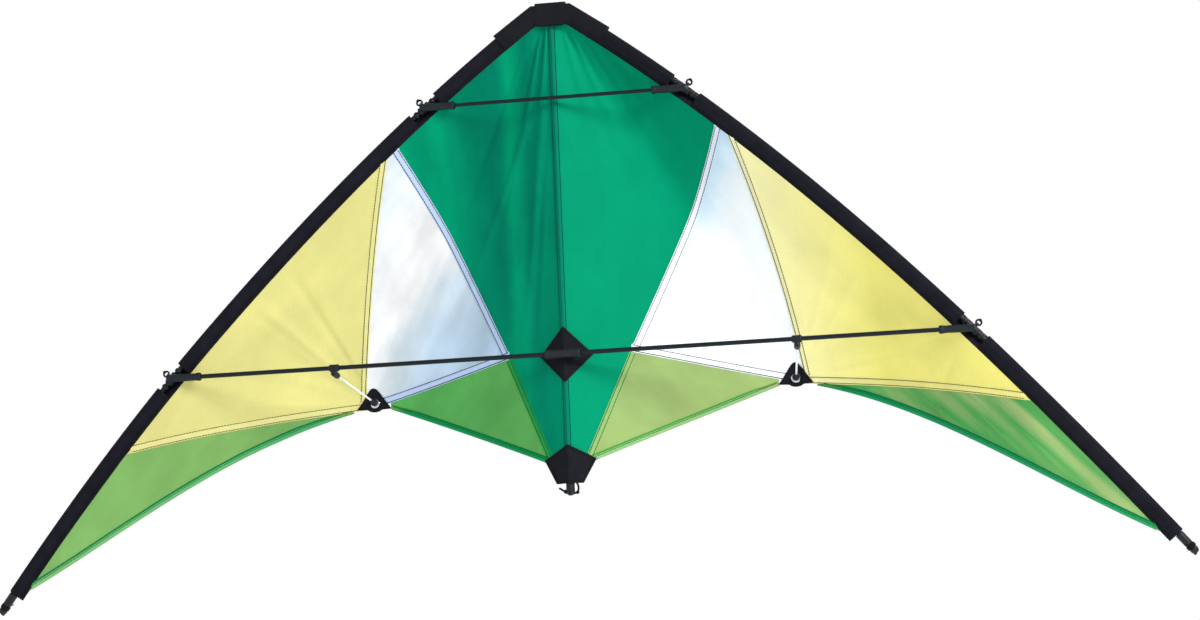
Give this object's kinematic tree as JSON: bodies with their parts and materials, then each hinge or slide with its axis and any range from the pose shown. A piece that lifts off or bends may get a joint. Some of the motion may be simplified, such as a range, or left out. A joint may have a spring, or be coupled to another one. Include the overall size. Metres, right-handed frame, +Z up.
{
  "type": "two-line delta kite",
  "caption": "Two-line delta kite with bowed leading edges, spine, spreaders, standoffs and a coloured panelled sail; its wings fold in to the spine for storage.",
  "frame": {"origin": "the middle of the flat front face of the centre tee, where both lower spreaders meet the spine", "axes": "+Z up the spine to the nose, +X to the right of someone looking at the front (the flyer's side), -Y forwards out of the front face"},
  "size_m": [1.3402, 0.1162, 0.6379],
  "materials": {
    "rod": "black pultruded fibreglass rod, satin",
    "white_rod": "white fibreglass rod",
    "sleeve_cloth": "black woven polyester sleeve and patches",
    "vinyl": "black moulded vinyl",
    "nock_plastic": "black moulded nylon",
    "eyelet_steel": "nickel-plated eyelet",
    "cord": "black braided cord",
    "sail_dark_green": "dark green polyester sailcloth, translucent",
    "sail_white": "white polyester sailcloth, translucent",
    "sail_yellow": "yellow polyester sailcloth, translucent",
    "sail_light_green": "light green polyester sailcloth, translucent"
  },
  "bodies": {
    "spine": {"spine_rod": "rod", "nose_cap": "sleeve_cloth", "centre_tee": "vinyl", "diamond_patch": "sleeve_cloth", "tail_patch": "sleeve_cloth", "tail_cap": "nock_plastic", "tail_cord": "cord", "centre_panel_left": "sail_dark_green", "centre_panel_right": "sail_dark_green"},
    "upper_spreader": {"upper_spreader_rod": "rod"},
    "wing_left": {"leading_edge_rod_left": "rod", "edge_sleeve_upper_left": "sleeve_cloth", "edge_sleeve_middle_left": "sleeve_cloth", "edge_sleeve_lower_left": "sleeve_cloth", "upper_connector_left": "vinyl", "lower_connector_left": "vinyl", "upper_stopper_above_left": "nock_plastic", "upper_stopper_below_left": "nock_plastic", "lower_stopper_above_left": "nock_plastic", "lower_stopper_below_left": "nock_plastic", "wing_tip_nock_left": "nock_plastic", "wing_tip_cord_left": "cord", "white_panel_left": "sail_white", "yellow_panel_left": "sail_yellow", "tip_panel_left": "sail_light_green"},
    "belly_left": {"belly_patch_left": "sleeve_cloth", "eyelet_left": "eyelet_steel", "standoff_end_left": "vinyl", "inner_panel_left": "sail_light_green"},
    "standoff_left": {"standoff_rod_left": "white_rod"},
    "lower_spreader_left": {"lower_spreader_rod_left": "rod", "standoff_connector_left": "vinyl"},
    "upper_loop_left": {"upper_bridle_loop_left": "cord"},
    "lower_loop_left": {"lower_bridle_loop_left": "cord"},
    "wing_right": {"leading_edge_rod_right": "rod", "edge_sleeve_upper_right": "sleeve_cloth", "edge_sleeve_middle_right": "sleeve_cloth", "edge_sleeve_lower_right": "sleeve_cloth", "upper_connector_right": "vinyl", "lower_connector_right": "vinyl", "upper_stopper_above_right": "nock_plastic", "upper_stopper_below_right": "nock_plastic", "lower_stopper_above_right": "nock_plastic", "lower_stopper_below_right": "nock_plastic", "wing_tip_nock_right": "nock_plastic", "wing_tip_cord_right": "cord", "white_panel_right": "sail_white", "yellow_panel_right": "sail_yellow", "tip_panel_right": "sail_light_green"},
    "belly_right": {"belly_patch_right": "sleeve_cloth", "eyelet_right": "eyelet_steel", "standoff_end_right": "vinyl", "inner_panel_right": "sail_light_green"},
    "standoff_right": {"standoff_rod_right": "white_rod"},
    "lower_spreader_right": {"lower_spreader_rod_right": "rod", "standoff_connector_right": "vinyl"},
    "upper_loop_right": {"upper_bridle_loop_right": "cord"},
    "lower_loop_right": {"lower_bridle_loop_right": "cord"}
  },
  "joints": [
    {"name": "wing_left_fold", "type": "hinge", "parent": "spine", "child": "wing_left", "pos_m": [-0.0206, 0.0125, 0.3789], "axis": [0, -1, 0], "range_deg": [0, 42], "stiffness_Nm_per_rad": 30, "deforming": ["centre_panel_left", "white_panel_left", "yellow_panel_left", "tip_panel_left", "inner_panel_left", "belly_patch_left", "nose_cap", "centre_tee", "diamond_patch", "tail_patch"]},
    {"name": "belly_left_fold", "type": "hinge", "parent": "spine", "child": "belly_left", "pos_m": [-0.0206, 0.0125, 0.3789], "axis": [0, -1, 0], "range_deg": [0, 25.2]},
    {"name": "lower_spreader_left_fold", "type": "hinge", "parent": "wing_left", "child": "lower_spreader_left", "pos_m": [-0.44755, 0.0065, 0], "axis": [0, -1, 0], "range_deg": [0, 38], "deforming": ["lower_connector_left", "lower_spreader_rod_left"]},
    {"name": "standoff_left_fold", "type": "hinge", "parent": "belly_left", "child": "standoff_left", "pos_m": [-0.2405, 0.11224, -0.0305], "axis": [-0.8093, 0.2579, 0.5278], "range_deg": [0, 64.3], "deforming": ["standoff_end_left", "standoff_connector_left"]},
    {"name": "upper_loop_left_swing", "type": "hinge", "parent": "wing_left", "child": "upper_loop_left", "pos_m": [-0.15016, 0.0125, 0.28801], "axis": [-0.7762, 0, -0.6305], "range_deg": [-60, 60]},
    {"name": "lower_loop_left_swing", "type": "hinge", "parent": "wing_left", "child": "lower_loop_left", "pos_m": [-0.45163, 0.01376, 0.00383], "axis": [-0.6843, 0.0352, -0.7283], "range_deg": [-60, 60]},
    {"name": "wing_right_fold", "type": "hinge", "parent": "spine", "child": "wing_right", "pos_m": [0.0206, 0.0125, 0.3789], "axis": [0, 1, 0], "range_deg": [0, 42], "stiffness_Nm_per_rad": 30, "deforming": ["centre_panel_right", "white_panel_right", "yellow_panel_right", "tip_panel_right", "inner_panel_right", "belly_patch_right"]},
    {"name": "belly_right_fold", "type": "hinge", "parent": "spine", "child": "belly_right", "pos_m": [0.0206, 0.0125, 0.3789], "axis": [0, 1, 0], "range_deg": [0, 25.2]},
    {"name": "lower_spreader_right_fold", "type": "hinge", "parent": "wing_right", "child": "lower_spreader_right", "pos_m": [0.44755, 0.0065, 0], "axis": [0, 1, 0], "range_deg": [0, 38], "deforming": ["lower_connector_right", "lower_spreader_rod_right"]},
    {"name": "standoff_right_fold", "type": "hinge", "parent": "belly_right", "child": "standoff_right", "pos_m": [0.2405, 0.11224, -0.0305], "axis": [-0.8093, -0.2579, -0.5278], "range_deg": [0, 64.3], "deforming": ["standoff_end_right", "standoff_connector_right"]},
    {"name": "upper_loop_right_swing", "type": "hinge", "parent": "wing_right", "child": "upper_loop_right", "pos_m": [0.15016, 0.0125, 0.28801], "axis": [0.7762, 0, -0.6305], "range_deg": [-60, 60]},
    {"name": "lower_loop_right_swing", "type": "hinge", "parent": "wing_right", "child": "lower_loop_right", "pos_m": [0.45163, 0.01376, 0.00383], "axis": [0.6843, 0.0352, -0.7283], "range_deg": [-60, 60]},
    {"name": "upper_spreader_fold", "type": "hinge", "parent": "wing_left", "child": "upper_spreader", "pos_m": [-0.14663, 0.0065, 0.28366], "axis": [0, 0.9945, -0.1045], "range_deg": [0, 125], "deforming": ["upper_spreader_rod", "upper_connector_left", "upper_connector_right"]}
  ],
  "couplings": [
    {"joint": "belly_left_fold", "follows": "wing_left_fold", "ratio": 0.6},
    {"joint": "lower_spreader_left_fold", "follows": "wing_left_fold", "ratio": 0.90476},
    {"joint": "standoff_left_fold", "follows": "wing_left_fold", "ratio": 1.531},
    {"joint": "wing_right_fold", "follows": "wing_left_fold", "ratio": 1},
    {"joint": "belly_right_fold", "follows": "wing_left_fold", "ratio": 0.6},
    {"joint": "lower_spreader_right_fold", "follows": "wing_left_fold", "ratio": 0.90476},
    {"joint": "standoff_right_fold", "follows": "wing_left_fold", "ratio": 1.531},
    {"joint": "upper_spreader_fold", "follows": "wing_left_fold", "ratio": 2.9762}
  ]
}
